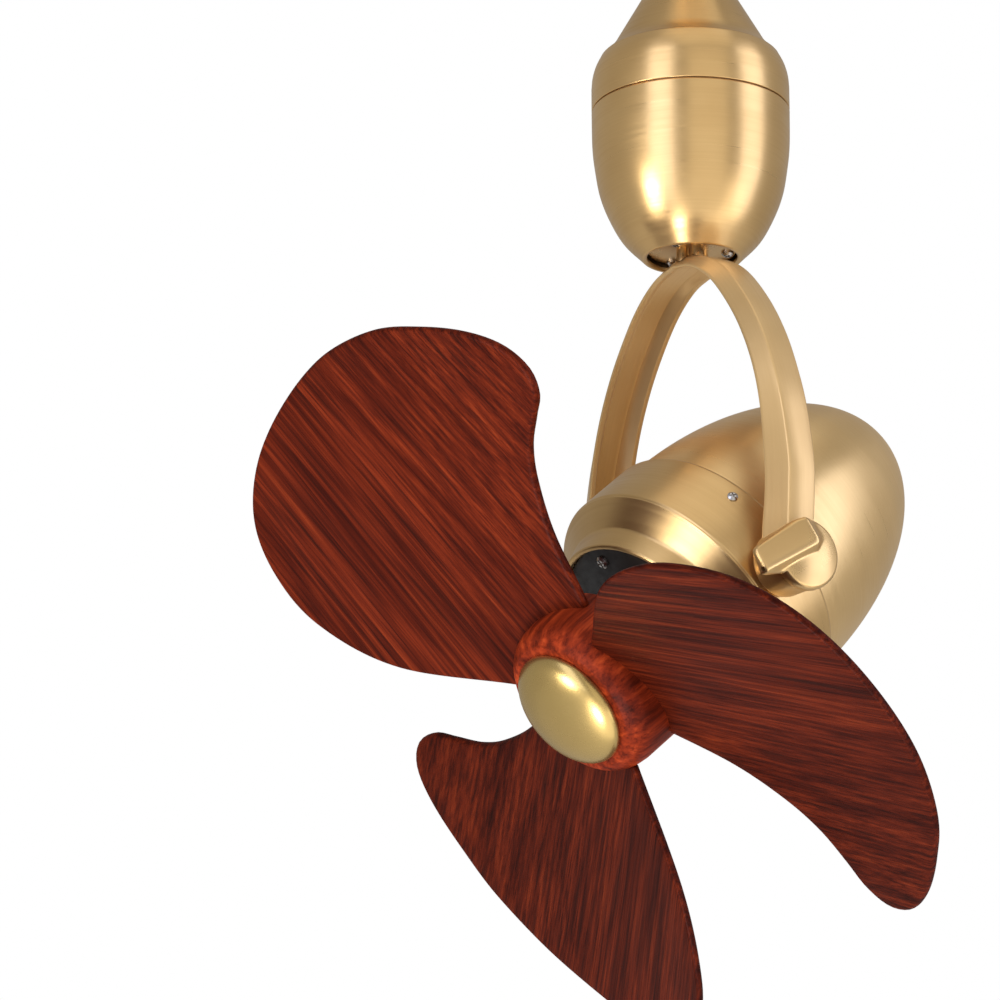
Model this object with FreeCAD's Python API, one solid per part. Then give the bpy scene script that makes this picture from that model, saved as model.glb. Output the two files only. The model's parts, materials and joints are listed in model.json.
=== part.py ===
import FreeCAD, Part
import math
import os

# Directional ceiling fan. Millimetres, +Z up, origin where the rod's axis meets the ceiling.
# The fan head looks along -Y and the yoke's pivot axis is parallel to X.
# Housing and yoke are drawn with z = 0 at the housing seam; the head is drawn about its own
# shaft, with z along the shaft towards the spinner and x along the pivot axis.

V = FreeCAD.Vector
ORIGIN = V(0, 0, 0)
X = V(1, 0, 0)
Y = V(0, 1, 0)
Z = V(0, 0, 1)

# ---- driving dimensions ----
SEAM_DROP = 250.0        # ceiling to the seam between upper housing and lower cup
PIVOT_DROP = 243.5       # seam to the head's pivot axis
TILT_REST = 41.5         # fan axis below the horizontal at rest, degrees

HOUSING_R = 48.0
HOUSING_WALL = 2.0
HOUSING_TOP = 27.3       # height of the upper housing above the seam
CONE_BASE_R = 43.3
CONE_TOP = 70.7
CONE_COLLAR_TOP = 79.0
CONE_COLLAR_R = 16.0
CUP_DEPTH = 75.1
CUP_MOUTH_R = 21.8

ROD_R = 13.35
ROD_BORE_R = 10.5
SOCKET_R = 17.0
SOCKET_BORE_R = 13.45
PIN_R = 2.5
CANOPY_R = 62.0
CEILING_SCREW_SPACING = 88.9
CEILING_SCREW_R = 2.6

SHAFT_R = 6.0
RUNNING_GAP = 0.05       # radial clearance of shafts, pins and bushes
GEAR_MODULE = 1.0
GEAR_TEETH = 44
PINION_TEETH = 12
GEAR_LOW = -12.0
GEAR_HIGH = -6.0
GEAR_CENTRES = (GEAR_TEETH + PINION_TEETH) * GEAR_MODULE / 2 + 0.05
BEARING_PLATE_Z = -34.0

YOKE_WIDTH = 24.0
YOKE_WALL = 2.5
EYE_R = 15.5
EYE_INNER_X = 70.0
EYE_OUTER_X = 87.5
NECK_INNER_X = 73.0
YOKE_FLAT = 7.0          # half width of the flat strip over the arch
YOKE_FOOT_Z = -236.0     # bottom of the arch's arms, inside the eyes
CHANNEL_END_Z = -214.0   # bottom of the channel inside each arm
NECK_Z = -227.5          # where the arch meets the straight tongue above each eye
POSTS = ((3, -7.5), (11, -4), (-3, 7.5), (-11, 4))
POST_R = 3.0
TENON_R = 1.6
BUSH_R = 6.5
STUD_R = 4.0
STUD_GROOVE_R = 3.1
KNOB_R = 16.5
KNOB_GAP = 0.3           # end float between eye and knob
NOSE_REACH = 28.0        # nose of the grip from the pivot axis
GRIP_DROP = 23.0         # nose of the grip below the horizontal, degrees
GRUB_HEIGHT = 5.2        # grub screw above the knob's back face
GRUB_R = 1.2
GRIP_FLOOR = 1.6         # underside of the nose above the knob's back face

BARREL_R = 67.5
BARREL_FRONT = 16.5
BARREL_REAR = -16.8
STATOR_R = 58.0
SHELL_R = 64.3
SHELL_WALL = 2.0
SHELL_START = -20.0
SHELL_LENGTH = 116.0
BEARING_R = 14.0

HUB_R = 40.5
HUB_BACK = 57.0
HUB_FRONT = 93.2
HUB_SEAT = 88.0          # front face of the hub's metal bush
BLADE_ANGLES = {"blade_1": 98.1, "blade_2": -21.9, "blade_3": -141.9}
BLADE_THICKNESS = 4.5
BLADE_PLANE = 77.4       # height of the blades' middle line at the reference radius
BLADE_REF_R = 120.0
CAP_R = 29.4
CAP_RIM = 94.0
CAP_BULGE = 11.7

PARTS = {}


# ---- helpers ----
def profile(*pieces):
    """Closed wire in the XZ plane: (r, z) corners, and lists of points for smooth curves."""
    edges = []
    start = end = None
    for piece in pieces:
        points = piece if isinstance(piece, list) else [piece]
        run = [V(r, 0, z) for r, z in points]
        if end is None:
            start = run[0]
        elif (run[0] - end).Length > 1e-6:
            edges.append(Part.makeLine(end, run[0]))
        if len(run) > 1:
            curve = Part.BSplineCurve()
            curve.interpolate(run)
            edges.append(curve.toShape())
        end = run[-1]
    if (start - end).Length > 1e-6:
        edges.append(Part.makeLine(end, start))
    return Part.Wire(edges)


def turned(*pieces):
    """Solid of revolution about Z."""
    return Part.Face(profile(*pieces)).revolve(ORIGIN, Z, 360)


def ring(inner, outer, low, high):
    return turned((inner, low), (outer, low), (outer, high), (inner, high))


def rod(radius, start, end):
    axis = end - start
    return Part.makeCylinder(radius, axis.Length, start, axis)


def box(x, y, z):
    """Box from three (low, high) pairs."""
    return Part.makeBox(x[1] - x[0], y[1] - y[0], z[1] - z[0], V(x[0], y[0], z[0]))


def joined(shapes):
    return shapes[0].multiFuse(shapes[1:]).removeSplitter()


def largest(shape):
    return max(shape.Solids, key=lambda solid: solid.Volume)


def around(shape, count, first=0.0):
    """Copies of a shape spaced evenly about Z."""
    copies = []
    for i in range(count):
        copy = shape.copy()
        copy.rotate(ORIGIN, Z, first + i * 360.0 / count)
        copies.append(copy)
    return copies


def polar(radius, degrees, z=0.0):
    angle = math.radians(degrees)
    return V(radius * math.cos(angle), radius * math.sin(angle), z)


def arc_points(r_axis, z_axis, z_start, steps=8):
    """Quarter ellipse from (r_axis, z_start) to the axis, bulging by z_axis."""
    angles = [math.pi / 2 * i / steps for i in range(steps + 1)]
    return [(r_axis * math.cos(a), z_start + z_axis * math.sin(a)) for a in angles]


def pan_screw(head_r, head_h, shank_r, shank_l, recess=1.0):
    """Pan-head screw along Z, seated at z = 0, with a cross recess."""
    head = turned((0, 0), (head_r, 0), (head_r, head_h * 0.45), (head_r * 0.6, head_h), (0, head_h))
    slots = []
    for x_half, y_half in ((head_r * 0.6, head_r * 0.16), (head_r * 0.16, head_r * 0.6)):
        slots.append(box((-x_half, x_half), (-y_half, y_half), (head_h - recess, head_h + 1)))
    head = head.cut(joined(slots))
    return joined([head, rod(shank_r, V(0, 0, -shank_l), V(0, 0, 0.01))])


def aimed(shape, position, direction):
    """Copy of a shape drawn along Z, moved to a position and turned to a direction."""
    copy = shape.copy()
    copy.Placement = FreeCAD.Placement(position, FreeCAD.Rotation(Z, direction))
    return copy


def add(name, shape, place=None):
    """Keep one node, moved from its drawing frame to the fan's frame."""
    solids = shape if isinstance(shape, list) else [shape]
    copies = []
    for solid in solids:
        copy = solid.copy()
        if place is not None:
            copy.Placement = place.multiply(copy.Placement)
        copies.append(copy)
    PARTS[name] = Part.makeCompound(copies) if len(copies) > 1 else copies[0]


HOUSING_FRAME = FreeCAD.Placement(V(0, 0, -SEAM_DROP), FreeCAD.Rotation())
HEAD_FRAME = FreeCAD.Placement(V(0, 0, -SEAM_DROP - PIVOT_DROP), FreeCAD.Rotation(X, 90 + TILT_REST))


def add_housing(name, shape):
    add(name, shape, HOUSING_FRAME)


def add_head(name, shape):
    add(name, shape, HEAD_FRAME)


# ---- ceiling end ----
def ceiling_mount():
    plate = ring(ROD_BORE_R - 1, 55, -3, 0)
    socket = ring(SOCKET_BORE_R, SOCKET_R, -38, -3)
    tabs = [box((50, 58.6), (-7, 7), (-3, 0)), box((56.6, 58.6), (-7, 7), (-14, 0))]
    both_tabs = [copy for tab in tabs for copy in around(tab, 2)]
    holes = [rod(CEILING_SCREW_R, V(0, y, -4), V(0, y, 1))
             for y in (-CEILING_SCREW_SPACING / 2, CEILING_SCREW_SPACING / 2)]
    holes.append(rod(PIN_R, V(-20, 0, -24), V(20, 0, -24)))
    holes += around(rod(2, V(54, 0, -8), V(63, 0, -8)), 2)
    add("mounting_plate", joined([plate, socket] + both_tabs).cut(Part.makeCompound(holes)))

    outer = [(62, -6), (60.5, -20), (54, -34), (42, -46), (27, -54), (17, -57.5)]
    inner = [(16, -55.7), (26.3, -52.3), (41, -44.4), (52.5, -32.9), (58.8, -19.6), (60.3, -6)]
    canopy = turned((CANOPY_R, 0), outer, (13.8, -57.5), (13.8, -55.7), inner, (60.3, 0))
    canopy = canopy.cut(Part.makeCompound([rod(2, V(-64, 0, -8), V(64, 0, -8))]))
    add("canopy", canopy)
    screw = pan_screw(4, 2, 2, 6)
    add("canopy_screws", [aimed(screw, V(s * 62.2, 0, -8), V(s, 0, 0)) for s in (-1, 1)])


def downrod():
    low = 34.0 - SEAM_DROP
    tube = ring(ROD_BORE_R, ROD_R, low, -6)
    pins = [rod(PIN_R, V(-19, 0, z), V(19, 0, z)) for z in (-24, 46 - SEAM_DROP)]
    heads = [rod(4, V(19, 0, z), V(21, 0, z)) for z in (-24, 46 - SEAM_DROP)]
    add("downrod", tube.cut(Part.makeCompound(pins)))
    add("rod_pins", [joined(list(pair)) for pair in zip(pins, heads)])
    collar = ring(SOCKET_BORE_R, SOCKET_R, HOUSING_TOP, 58)
    flange = ring(SOCKET_BORE_R, 27, HOUSING_TOP, HOUSING_TOP + 3)
    pin_hole = rod(PIN_R, V(-20, 0, 46), V(20, 0, 46))
    screw_holes = around(rod(2, V(22, 0, 25), V(22, 0, 40)), 3, 90)
    holes = Part.makeCompound([pin_hole] + screw_holes)
    add_housing("hanger_collar", joined([collar, flange]).cut(holes))
    screw = pan_screw(3.8, 2.2, 2, 5.5)
    screw.translate(V(22, 0, HOUSING_TOP + 3))
    add_housing("collar_screws", around(screw, 3, 90))


# ---- housing ----
def housing():
    shoulder = [(HOUSING_R, 12), (47.5, 17), (46.1, 22), (43.5, HOUSING_TOP)]
    inside = [(41.9, 25), (44.2, 20.8), (45.5, 16.4), (46, 12)]
    upper = turned((HOUSING_R, 0.5), shoulder, (SOCKET_BORE_R, HOUSING_TOP), (SOCKET_BORE_R, 25),
                   inside, (HOUSING_R - HOUSING_WALL, 0.5))
    screw_holes = Part.makeCompound(around(rod(2, V(22, 0, 20), V(22, 0, 40)), 3, 90))
    add_housing("upper_housing", upper.cut(screw_holes))

    outside = [(HOUSING_R, 0), (47.7, -18), (46.4, -30), (44.2, -42), (40, -53.3), (33.7, -64.7),
               (23.6, -CUP_DEPTH)]
    hollow = [(CUP_MOUTH_R, -72.8), (32.2, -63.1), (38.3, -52.3), (42.3, -41.4), (44.4, -29.6),
              (45.3, -18), (45.4, -4)]
    add_housing("lower_cup", turned(outside, (CUP_MOUTH_R, -CUP_DEPTH), hollow, (46, -4), (46, 0)))

    flare = [(CONE_BASE_R, HOUSING_TOP), (41.1, 29.2), (38.9, 31.4), (36.9, 34.1), (35.2, 37.1)]
    under = [(33, 37.4), (34.8, 34.0), (36.9, 31.1), (39.2, 28.8), (40.9, HOUSING_TOP)]
    cone = turned(flare, (CONE_COLLAR_R, CONE_TOP), (CONE_COLLAR_R, CONE_COLLAR_TOP),
                  (13.6, CONE_COLLAR_TOP), (13.6, CONE_TOP), under)
    add_housing("cone_cover", cone.cut(rod(1.5, V(12, 0, 75), V(17, 0, 75))))
    screw = rod(1.5, V(ROD_R + 0.1, 0, 75), V(15.6, 0, 75))
    add_housing("cone_set_screw", screw)


def drive_unit():
    """Chassis, motor and bearings that turn the yoke."""
    plate = ring(9, 46, -3, 0)
    rim = ring(44, 46, -3.9, 8)
    motor_hole = rod(6, V(GEAR_CENTRES, 0, -5), V(GEAR_CENTRES, 0, 1))
    add_housing("chassis", joined([plate, rim]).cut(motor_hole))

    motor_at = V(GEAR_CENTRES, 0, 0)
    case = turned((0, 0), (15.3, 0), (15.3, 17), (14.3, 18), (0, 18))
    nose = rod(5, V(0, 0, -3.5), V(0, 0, 0))
    bore = rod(1.5 + RUNNING_GAP, V(0, 0, -4), V(0, 0, 6))
    motor = joined([case, nose]).cut(bore)
    motor.translate(motor_at)
    add_housing("yaw_motor", motor)

    plate = ring(9, 41, BEARING_PLATE_Z, BEARING_PLATE_Z + 4)
    posts = around(rod(2.5, V(37, 0, BEARING_PLATE_Z + 4), V(37, 0, -3)), 3, 60)
    add_housing("bearing_plate", plate)
    add_housing("spacer_posts", posts)
    bore_r = SHAFT_R + RUNNING_GAP
    upper_bush = joined([ring(bore_r, 9, -3, 1.5), ring(bore_r, 12, 0, 1.5)])
    lower_bush = joined([ring(bore_r, 9, BEARING_PLATE_Z - 1.5, BEARING_PLATE_Z + 4),
                         ring(bore_r, 12, BEARING_PLATE_Z - 1.5, BEARING_PLATE_Z)])
    add_housing("shaft_bushes", [upper_bush, lower_bush])
    block = box((-26, -13), (-7, 7), (-27, -15))
    foot = box((-26, -21), (-7, 7), (BEARING_PLATE_Z + 4, -15))
    add_housing("brush_holder", joined([block, foot]))
    add_housing("supply_terminal", box((-34, -16), (-9, 9), (0, 11)))


def involute(angle):
    return math.tan(angle) - angle


def gear(teeth, low, high, bore, first=0.0):
    """Spur gear with involute flanks and a little backlash; a tooth centred at angle first."""
    pressure = math.radians(22)
    backlash = 0.06
    pitch_r = GEAR_MODULE * teeth / 2
    base_r = pitch_r * math.cos(pressure)
    root_r = pitch_r - 1.15 * GEAR_MODULE
    tip_r = pitch_r + 0.85 * GEAR_MODULE
    half_pitch = math.pi / (2 * teeth) - backlash / pitch_r
    flank = []
    for i in range(5):
        r = max(root_r, base_r) + (tip_r - max(root_r, base_r)) * i / 4
        roll = math.acos(min(1.0, base_r / r))
        flank.append((r, half_pitch + involute(pressure) - involute(roll)))
    if root_r < base_r:
        flank.insert(0, (root_r, flank[0][1]))
    points = []
    for tooth in range(teeth):
        middle = math.radians(first) + 2 * math.pi * tooth / teeth
        points += [polar(r, math.degrees(middle - half), low) for r, half in flank]
        points += [polar(r, math.degrees(middle + half), low) for r, half in reversed(flank)]
    face = Part.Face(Part.makePolygon(points + [points[0]]))
    blank = face.extrude(V(0, 0, high - low))
    return blank.cut(rod(bore, V(0, 0, low - 1), V(0, 0, high + 1)))


def pinion():
    shaft = rod(1.5, V(0, 0, GEAR_LOW - 2), V(0, 0, 5))
    wheel = gear(PINION_TEETH, GEAR_LOW, GEAR_HIGH, 1.4, 180.0 / PINION_TEETH)
    piece = joined([wheel, shaft])
    piece.translate(V(GEAR_CENTRES, 0, 0))
    add_housing("yaw_pinion", piece)


# ---- yoke ----
def yoke_drive():
    add_housing("output_gear", gear(GEAR_TEETH, GEAR_LOW, GEAR_HIGH, SHAFT_R))
    groove = ring(5.2, 7, 1.8, 2.8)
    add_housing("output_shaft", rod(SHAFT_R, V(0, 0, -68.5), V(0, 0, 6)).cut(groove))
    add_housing("shaft_circlip", ring(5.2, 9, 1.8, 2.8))
    rings = [ring(11.2, 12.5, z, z + 1.5) for z in (-25, -21.75, -18.5)]
    add_housing("slip_ring", ring(SHAFT_R, 12.5, -27, -15).cut(Part.makeCompound(rings)))
    bolts = around(rod(1.6, V(17, 0, -80), V(17, 0, -60)), 3, 60)
    tenons = [rod(TENON_R, V(x, y, -72), V(x, y, -70)) for x, y in POSTS]
    flange = joined([ring(SHAFT_R, 20.8, -71.5, -68.5), ring(SHAFT_R, 10.5, -68.5, -58),
                     rod(SHAFT_R, V(0, 0, -71.5), V(0, 0, -68.5))])
    add_housing("output_flange", flange.cut(Part.makeCompound(bolts + tenons)))
    screw = pan_screw(3.0, 2.0, 1.6, 3.0)
    add_housing("flange_screws", [aimed(screw, p, V(0, 0, -1))
                                  for p in (polar(17, a, -71.5) for a in (60, 180, 300))])


def arch_slab(layers, foot_z):
    """Solid under mirrored half-arch curves, ruled along Y from layer to layer, down to foot_z."""
    wires = []
    for y, points in layers:
        left = [(-x, z) for x, z in reversed(points[1:])]
        wire = profile((-points[-1][0], foot_z), left + points, (points[-1][0], foot_z))
        wire.translate(V(0, y, 0))
        wires.append(wire)
    return Part.makeLoft(wires, True, True)


def yoke():
    ridge = [(0, -75.5), (20, -80.3), (37.5, -91), (55, -110), (68, -130), (77, -150),
             (83.7, -170), (88.6, -196), (88.6, -211), (EYE_OUTER_X, NECK_Z)]
    flank = [(0, -80.8), (16, -84.3), (31.9, -94.4), (46.5, -110.3), (58.1, -127.2),
             (67.4, -146.8), (73.4, -168.2), (76.5, -195), (76.4, -212), (74.2, NECK_Z)]
    rim = [(0, -82), (15.5, -85.4), (31, -95.2), (45.5, -111), (57, -127.8), (66.3, -147.3),
           (72.2, -168.5), (75.3, -195), (75.2, -212), (NECK_INNER_X, NECK_Z)]
    floor = [(0, -78.1), (19, -82.8), (35.6, -92.8), (52.8, -111.4), (65.6, -131.2),
             (74.6, -151), (81.2, -170.7), (86.0, -196), (86.0, -211)]
    lip = [(0, -81.7), (15.6, -85.1), (31.2, -95.0), (45.7, -110.9), (57.3, -127.7),
           (66.6, -147.2), (72.5, -168.4), (75.6, -195), (75.5, -211)]
    edge = YOKE_WIDTH / 2
    outside = [(-edge, flank), (-YOKE_FLAT, ridge), (YOKE_FLAT, ridge), (edge, flank)]
    solid = arch_slab(outside, YOKE_FOOT_Z)
    solid = solid.cut(arch_slab([(-edge - 2, rim), (edge + 2, rim)], YOKE_FOOT_Z - 1))
    edge -= YOKE_WALL
    flat = YOKE_FLAT - YOKE_WALL + 0.5
    hollow = [(-edge, lip), (-flat, floor), (flat, floor), (edge, lip)]
    solid = solid.cut(arch_slab(hollow, CHANNEL_END_Z))
    eyes = []
    bores = []
    for side in (-1, 1):
        inner = V(side * EYE_INNER_X, 0, -PIVOT_DROP)
        outer = V(side * EYE_OUTER_X, 0, -PIVOT_DROP)
        eyes.append(rod(EYE_R, inner, outer))
        bores.append(rod(BUSH_R, inner - V(side * 5, 0, 0), outer + V(side * 5, 0, 0)))
    solid = joined([solid] + eyes).cut(Part.makeCompound(bores))
    tenons = [rod(TENON_R, V(x, y, -77.4), V(x, y, -70)) for x, y in POSTS]
    solid = solid.cut(Part.makeCompound(tenons))
    add_housing("yoke_arch", solid)

    posts = []
    for (x, y), tenon in zip(POSTS, tenons):
        shoulder = largest(rod(POST_R, V(x, y, -79), V(x, y, -71.5)).cut(solid))
        posts.append(joined([shoulder, tenon]))
    add_housing("crown_posts", posts)
    bush = [rod(BUSH_R, V(s * EYE_INNER_X, 0, -PIVOT_DROP), V(s * EYE_OUTER_X, 0, -PIVOT_DROP))
            for s in (-1, 1)]
    bore = rod(STUD_R + RUNNING_GAP, V(-100, 0, -PIVOT_DROP), V(100, 0, -PIVOT_DROP))
    add_housing("yoke_bushes", [b.cut(bore) for b in bush])


# ---- head ----
def radial(shape, angle, radius, z):
    """Copy of a shape drawn along Z, standing radially out of a cylinder about Z."""
    return aimed(shape, polar(radius, angle, z), polar(1, angle))


def stud(side):
    """Threaded pivot stud with a groove near its end for the knob's grub screw."""
    bar = rod(STUD_R, V(side * 59, 0, 0), V(side * (EYE_OUTER_X + 7.0), 0, 0))
    groove_low = EYE_OUTER_X + KNOB_GAP + GRUB_HEIGHT - 1.7
    sleeve = rod(STUD_R + 1, V(side * groove_low, 0, 0), V(side * (groove_low + 3.4), 0, 0))
    return bar.cut(sleeve.cut(rod(STUD_GROOVE_R, V(side * 59, 0, 0), V(side * 100, 0, 0))))


def head_casing():
    barrel = turned((STATOR_R, BARREL_FRONT), (BARREL_R - 0.6, BARREL_FRONT),
                    (BARREL_R, BARREL_FRONT - 0.6), (BARREL_R, BARREL_REAR + 1.5),
                    (BARREL_R - 0.6, BARREL_REAR + 0.4), (BARREL_R - 1.6, BARREL_REAR),
                    (SHELL_R, BARREL_REAR), (SHELL_R, -4), (STATOR_R, -4))
    screw = pan_screw(2.5, 1.4, 1.5, 5.0)
    screw_angles = [32.3, 152.3, 272.3]
    screws = [radial(screw, a, BARREL_R, -9.0) for a in screw_angles]
    shank = rod(1.5, V(0, 0, -6), V(0, 0, 1))
    shanks = Part.makeCompound([radial(shank, a, BARREL_R, -9.0) for a in screw_angles])
    pip = rod(0.7, V(0, 0, -1.5), V(0, 0, 1))
    pips = Part.makeCompound([radial(pip, a + 3.6, BARREL_R, -7.4) for a in screw_angles])
    studs = [stud(s) for s in (-1, 1)]
    add_head("barrel", barrel.cut(shanks).cut(pips).cut(Part.makeCompound(studs)))
    add_head("barrel_screws", screws)
    add_head("pivot_studs", studs)
    collars = [rod(9, V(s * 60, 0, 0), V(s * (EYE_INNER_X - 0.3), 0, 0)).cut(studs[i])
               for i, s in enumerate((-1, 1))]
    core = rod(BARREL_R, V(0, 0, -30), V(0, 0, 30))
    add_head("pivot_collars", [c.cut(core) for c in collars])

    bezel = turned((BARREL_R - 0.4, BARREL_FRONT), (BARREL_R - 0.6, 17.0), (55.6, 26.4),
                   (54.9, 27.6), (52.9, 36.4), (52.2, 37.1), (50.9, 37.1), (50.2, 36.4),
                   (50.2, 30.5), (38, 30.5), (38, 28.5), (52.2, 28.5), (52.8, 26.0), (63.5, 17.6),
                   (63.5, BARREL_FRONT))
    plate_angles = [87, 207, 327]
    holes = Part.makeCompound([rod(1.6, polar(42.5, a, 20), polar(42.5, a, 40)) for a in plate_angles])
    add_head("front_bezel", bezel.cut(holes))
    plate = turned((7, 33.5), (50, 33.5), (50, 30.5), (18, 30.5), (18, 24), (BEARING_R, 24),
                   (BEARING_R, 32), (7, 32))
    add_head("front_plate", plate.cut(holes))
    plate_screw = pan_screw(3.2, 1.8, 1.6, 5.0)
    add_head("front_plate_screws",
             [aimed(plate_screw, polar(42.5, a, 33.5), Z) for a in plate_angles])

    outer = arc_points(SHELL_R, -SHELL_LENGTH, SHELL_START)
    inner = arc_points(SHELL_R - SHELL_WALL, -(SHELL_LENGTH - SHELL_WALL), SHELL_START)
    shell = turned((SHELL_R, -4), outer, list(reversed(inner)), (SHELL_R - SHELL_WALL, -4))
    add_head("rear_shell", shell.cut(shanks))


def motor():
    slot = box((34, 50), (-4, 4), (-11, 15))
    slots = around(slot, 12)
    mouth = around(box((29, 35), (-1.2, 1.2), (-11, 15)), 12)
    core = ring(30.6, STATOR_R, -10, 14).cut(Part.makeCompound(slots)).cut(Part.makeCompound(mouth))
    add_head("stator_core", core)
    bars = around(box((34, 50), (-4, 4), (-10, 14)), 12)
    coil_ends = [turned((34, z), (50, z), (50, z + s * 7), (47, z + s * 10), (37, z + s * 10),
                        (34, z + s * 7))
                 for z, s in ((14, 1), (-10, -1))]
    add_head("windings", joined(coil_ends + bars))
    bracket = turned((STATOR_R, -4), (61.5, -4), (61.5, -29), (18, -29), (18, -38), (7, -38),
                     (7, -36.5), (BEARING_R, -36.5), (BEARING_R, -26), (STATOR_R, -26))
    add_head("rear_bracket", bracket)
    add_head("front_bearing", ring(SHAFT_R + RUNNING_GAP, BEARING_R, 24, 32))
    add_head("rear_bearing", ring(SHAFT_R + RUNNING_GAP, BEARING_R, -36.5, -28.5))
    add_head("run_capacitor", box((-19, 19), (-9, 9), (-70, -38.0)))
    add_head("rotor_core", joined([ring(SHAFT_R, 30, -12, 16), ring(20, 29.5, -16, 20)]))
    shaft = turned((0, -37), (5.2, -37), (SHAFT_R, -36), (SHAFT_R, HUB_SEAT), (STUD_R, HUB_SEAT),
                   (STUD_R, 96), (3.2, 97), (0, 97))
    add_head("motor_shaft", shaft)


# ---- rotor ----
def blade_height(u, t):
    """Height of the twisted, dished middle surface at radial distance u and offset t."""
    outward = (u - BLADE_REF_R) / 100.0
    pitch = 0.215 - 0.081 * outward
    return BLADE_PLANE + pitch * t + 0.0009 * t * t + 3.9 * outward


def blade_slab():
    """Slab of even thickness that follows the blade's middle surface."""
    grid = [[V(u, t, blade_height(u, t) - BLADE_THICKNESS / 2) for t in range(-120, 121, 20)]
            for u in range(10, 221, 21)]
    surface = Part.BSplineSurface()
    surface.interpolate(grid)
    return Part.Face(surface).extrude(V(0, 0, BLADE_THICKNESS))


def blade_outline():
    """Plan of a blade: a wide paddle with a hooked trailing corner."""
    edge = [(22, 34), (63, 79), (102, 99.5), (134, 102), (161, 92.5), (181, 69), (193, 35),
            (197.5, -5), (191, -43), (178, -70), (163, -92), (147.5, -105), (132, -107),
            (120, -99), (113, -86), (104, -70), (90, -55.5), (66, -39.5), (32, -26)]
    curve = Part.BSplineCurve()
    curve.interpolate([V(u, t, 0) for u, t in edge])
    closing = Part.makeLine(V(*edge[-1], 0), V(*edge[0], 0))
    return Part.Face(Part.Wire([curve.toShape(), closing])).extrude(V(0, 0, 200))


def rotor():
    hub_core = rod(HUB_R, V(0, 0, 0), V(0, 0, 200))
    blade = blade_slab().common(blade_outline()).cut(hub_core)
    pins = [rod(1.2, V(26, t, blade_height(41, t)), V(55, t, blade_height(41, t))) for t in (-13, 13)]
    blade = largest(blade.cut(Part.makeCompound(pins)))
    all_pins = []
    for name, angle in BLADE_ANGLES.items():
        copy = blade.copy()
        copy.rotate(ORIGIN, Z, angle)
        add_head(name, copy)
        for pin in pins:
            turned_pin = pin.copy()
            turned_pin.rotate(ORIGIN, Z, angle)
            all_pins.append(turned_pin)
    add_head("blade_pins", all_pins)
    shoulder = [(HUB_R, 79), (39.6, 85), (37.2, 89.6), (33, HUB_FRONT)]
    hub = turned((12, 60), (18, 60), (18, HUB_BACK), (39.3, HUB_BACK), (HUB_R, HUB_BACK + 1.4),
                 shoulder, (CAP_R - 2.6, HUB_FRONT), (CAP_R - 2.6, HUB_SEAT), (12, HUB_SEAT))
    add_head("hub", hub.cut(Part.makeCompound(all_pins)))
    add_head("hub_bush", turned((SHAFT_R, HUB_BACK), (18, HUB_BACK), (18, 60), (12, 60),
                                (12, HUB_SEAT), (SHAFT_R, HUB_SEAT)))
    hexagon = Part.Face(Part.makePolygon([polar(8.0, 60 * i, HUB_SEAT) for i in range(7)]))
    add_head("hub_nut", hexagon.extrude(V(0, 0, 6)).cut(rod(STUD_R, V(0, 0, 80), V(0, 0, 110))))
    dome = arc_points(CAP_R, CAP_BULGE, CAP_RIM)
    inside = arc_points(CAP_R - 4.2, CAP_BULGE - 2, CAP_RIM)
    cap = turned((CAP_R - 2.7, HUB_SEAT + 0.5), (CAP_R - 2.7, HUB_FRONT), (CAP_R, HUB_FRONT), dome,
                 list(reversed(inside)), (CAP_R - 4.2, HUB_SEAT + 0.5))
    add_head("spinner_cap", cap)


# ---- clamp knobs ----
def grip(side):
    """Thumb grip standing on one half of the knob, gently sloped on top."""
    top = [(-5, GRIP_FLOOR), (-5, 10.8), (-3, 12), (6, 11.2), (NOSE_REACH - 1.2, 7.8), (NOSE_REACH, 6.6),
           (NOSE_REACH, GRIP_FLOOR)]
    wedge = Part.Face(profile(*top)).extrude(V(0, 40, 0))
    wedge.translate(V(0, -20, 0))
    plan = [(-5, 3.3), (-5, 12), (-2.5, 14.8), (4, 15.9), (NOSE_REACH - 0.6, 11), (NOSE_REACH, -2.5),
            (14, -3.4)]
    corners = [V(x, side * y, 0) for x, y in plan]
    wedge = wedge.common(Part.Face(Part.makePolygon(corners + corners[:1])).extrude(V(0, 0, 20)))
    nose = [e for e in wedge.Edges
            if e.BoundBox.XMin > NOSE_REACH - 0.7 and e.BoundBox.ZLength > 2]
    return wedge.makeFillet(2.0, nose)


def knobs():
    dome = [(KNOB_R, 5.8), (15.4, 7.4), (11, 8.2), (5.5, 8.7), (0, 8.9)]
    body = turned((0, 0), (15.7, 0), (KNOB_R, 0.8), dome)
    bore = rod(STUD_R + RUNNING_GAP, V(0, 0, -1), V(0, 0, 7.2))
    grub_hole = rod(GRUB_R, V(2, 0, GRUB_HEIGHT), V(NOSE_REACH + 2, 0, GRUB_HEIGHT))
    grub = rod(GRUB_R, V(STUD_GROOVE_R + 0.4, 0, GRUB_HEIGHT), V(11, 0, GRUB_HEIGHT))
    for name, sign in (("knob_right", 1), ("knob_left", -1)):
        seat = V(sign * (EYE_OUTER_X + KNOB_GAP), 0, -SEAM_DROP - PIVOT_DROP)
        place = FreeCAD.Placement(seat, FreeCAD.Rotation(V(0, sign, 0), 90))
        spin = FreeCAD.Placement(ORIGIN, FreeCAD.Rotation(Z, -90 + sign * GRIP_DROP))
        piece = joined([body, grip(-sign)]).cut(bore.fuse(grub_hole))
        add(name, piece, place.multiply(spin))
        add(name + "_grub_screw", grub, place.multiply(spin))


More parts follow.
